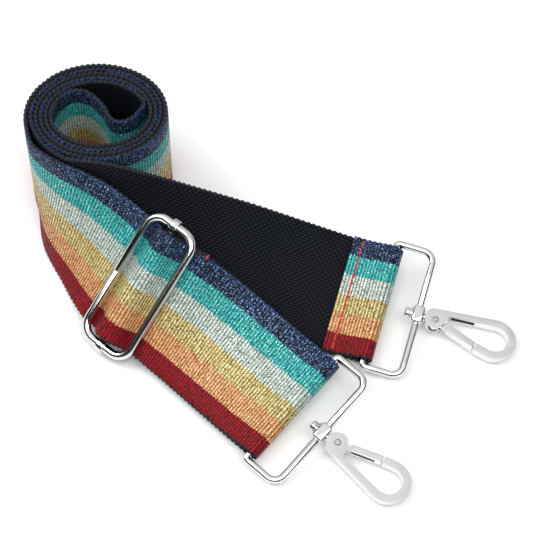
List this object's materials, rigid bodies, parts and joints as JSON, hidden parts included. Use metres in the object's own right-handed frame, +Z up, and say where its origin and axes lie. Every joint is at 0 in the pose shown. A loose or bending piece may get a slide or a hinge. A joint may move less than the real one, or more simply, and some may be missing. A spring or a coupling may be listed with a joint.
{
  "type": "luggage strap",
  "caption": "Wide striped webbing luggage shoulder strap, rolled up on edge, with a wire slider, and a ring and swivelling snap hook at each end.",
  "frame": {"origin": "on the floor, under the middle of the whole strap's bounding box", "axes": "+Z up; +X to the right along the strap's longest extent, towards hook B; +Y away from the viewer, towards the back of the roll"},
  "size_m": [0.196, 0.1744, 0.05],
  "materials": {
    "webbing": "matte",
    "thread": "matte",
    "nickel": "polished",
    "steel": "satin"
  },
  "bodies": {
    "webbing": {"webbing": "webbing", "end_tab_stitching": "thread", "slider_tab_stitching": "thread"},
    "slider_bar": {"slider_centre_bar": "nickel"},
    "slider_frame": {"slider_frame": "nickel"},
    "ring_a": {"ring_a": "nickel"},
    "hook_a": {"swivel_post_a": "nickel", "swivel_washer_a": "nickel", "hook_body_a": "nickel", "gate_pivot_pin_a": "steel", "gate_spring_a": "steel"},
    "gate_a": {"gate_a": "nickel"},
    "ring_b": {"ring_b": "nickel"},
    "hook_b": {"swivel_post_b": "nickel", "swivel_washer_b": "nickel", "hook_body_b": "nickel", "gate_pivot_pin_b": "steel", "gate_spring_b": "steel"},
    "gate_b": {"gate_b": "nickel"}
  },
  "joints": [
    {"name": "slider_tilt", "type": "hinge", "parent": "webbing", "child": "slider_bar", "pos_m": [-0.05152, -0.00193, 0.02206], "axis": [0.523, 0.6025, 0.6028], "range_deg": [-1.5, 1.5]},
    {"name": "slider_slide", "type": "slide", "parent": "slider_bar", "child": "slider_frame", "axis": [0.7552, -0.6555, 0], "range_m": [-0.0015, 0.0015]},
    {"name": "ring_a_fold", "type": "hinge", "parent": "webbing", "child": "ring_a", "pos_m": [0.0085, -0.04852, 0.00876], "axis": [0.6598, 0.7337, 0.1621], "range_deg": [-120, 100]},
    {"name": "hook_a_swivel", "type": "hinge", "parent": "ring_a", "child": "hook_a", "pos_m": [0.02255, -0.06069, 0.00667], "axis": [0.751, -0.6507, -0.1117], "continuous": true},
    {"name": "gate_a_open", "type": "hinge", "parent": "hook_a", "child": "gate_a", "pos_m": [0.02619, -0.06332, 0.00617], "axis": [-0.08, 0.0782, -0.9937], "range_deg": [0, 19], "stiffness_Nm_per_rad": 0.01, "springref_deg": -20.05},
    {"name": "ring_b_fold", "type": "hinge", "parent": "webbing", "child": "ring_b", "pos_m": [0.04391, -0.00198, 0.00903], "axis": [0.2785, 0.9447, 0.1732], "range_deg": [-120, 100]},
    {"name": "hook_b_swivel", "type": "hinge", "parent": "ring_b", "child": "hook_b", "pos_m": [0.06183, -0.00686, 0.00682], "axis": [0.9581, -0.2608, -0.1183], "continuous": true},
    {"name": "gate_b_open", "type": "hinge", "parent": "hook_b", "child": "gate_b", "pos_m": [0.06604, -0.00842, 0.00628], "axis": [0.1139, -0.0319, 0.993], "range_deg": [0, 19], "stiffness_Nm_per_rad": 0.01, "springref_deg": -20.05}
  ]
}
